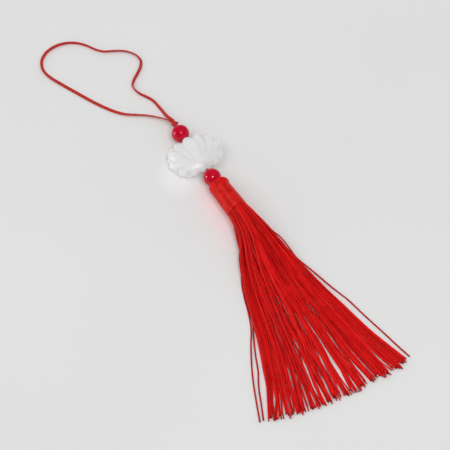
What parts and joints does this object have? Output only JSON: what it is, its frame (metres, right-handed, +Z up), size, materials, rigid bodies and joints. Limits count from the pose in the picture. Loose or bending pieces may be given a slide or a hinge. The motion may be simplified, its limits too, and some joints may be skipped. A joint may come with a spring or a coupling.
{
  "type": "lotus tassel hanging",
  "caption": "Hanging charm on a red cord loop: round beads above and below a milky carved lotus, and a silky red tassel with a wound neck, laid flat.",
  "frame": {"origin": "on the surface that the charm lies on, below the middle of the charm and tassel without the free cord loop", "axes": "+Y from the tassel's tips to the hanging loop, +X to the right seen from above, +Z up from the surface"},
  "size_m": [0.0718, 0.2381, 0.0108],
  "materials": {
    "cord": "flat braided cord, dull red",
    "bead": "polished crimson",
    "lotus": "polished milky white, slightly translucent",
    "silk": "silky rayon thread",
    "binding": "fine thread wound side by side"
  },
  "bodies": {
    "root": {"hanging_loop": "cord", "top_knot": "cord", "threading_cord": "cord", "upper_bead": "bead", "lower_bead": "bead", "lotus_charm": "lotus", "tassel": "silk", "neck_binding": "binding"}
  },
  "joints": []
}
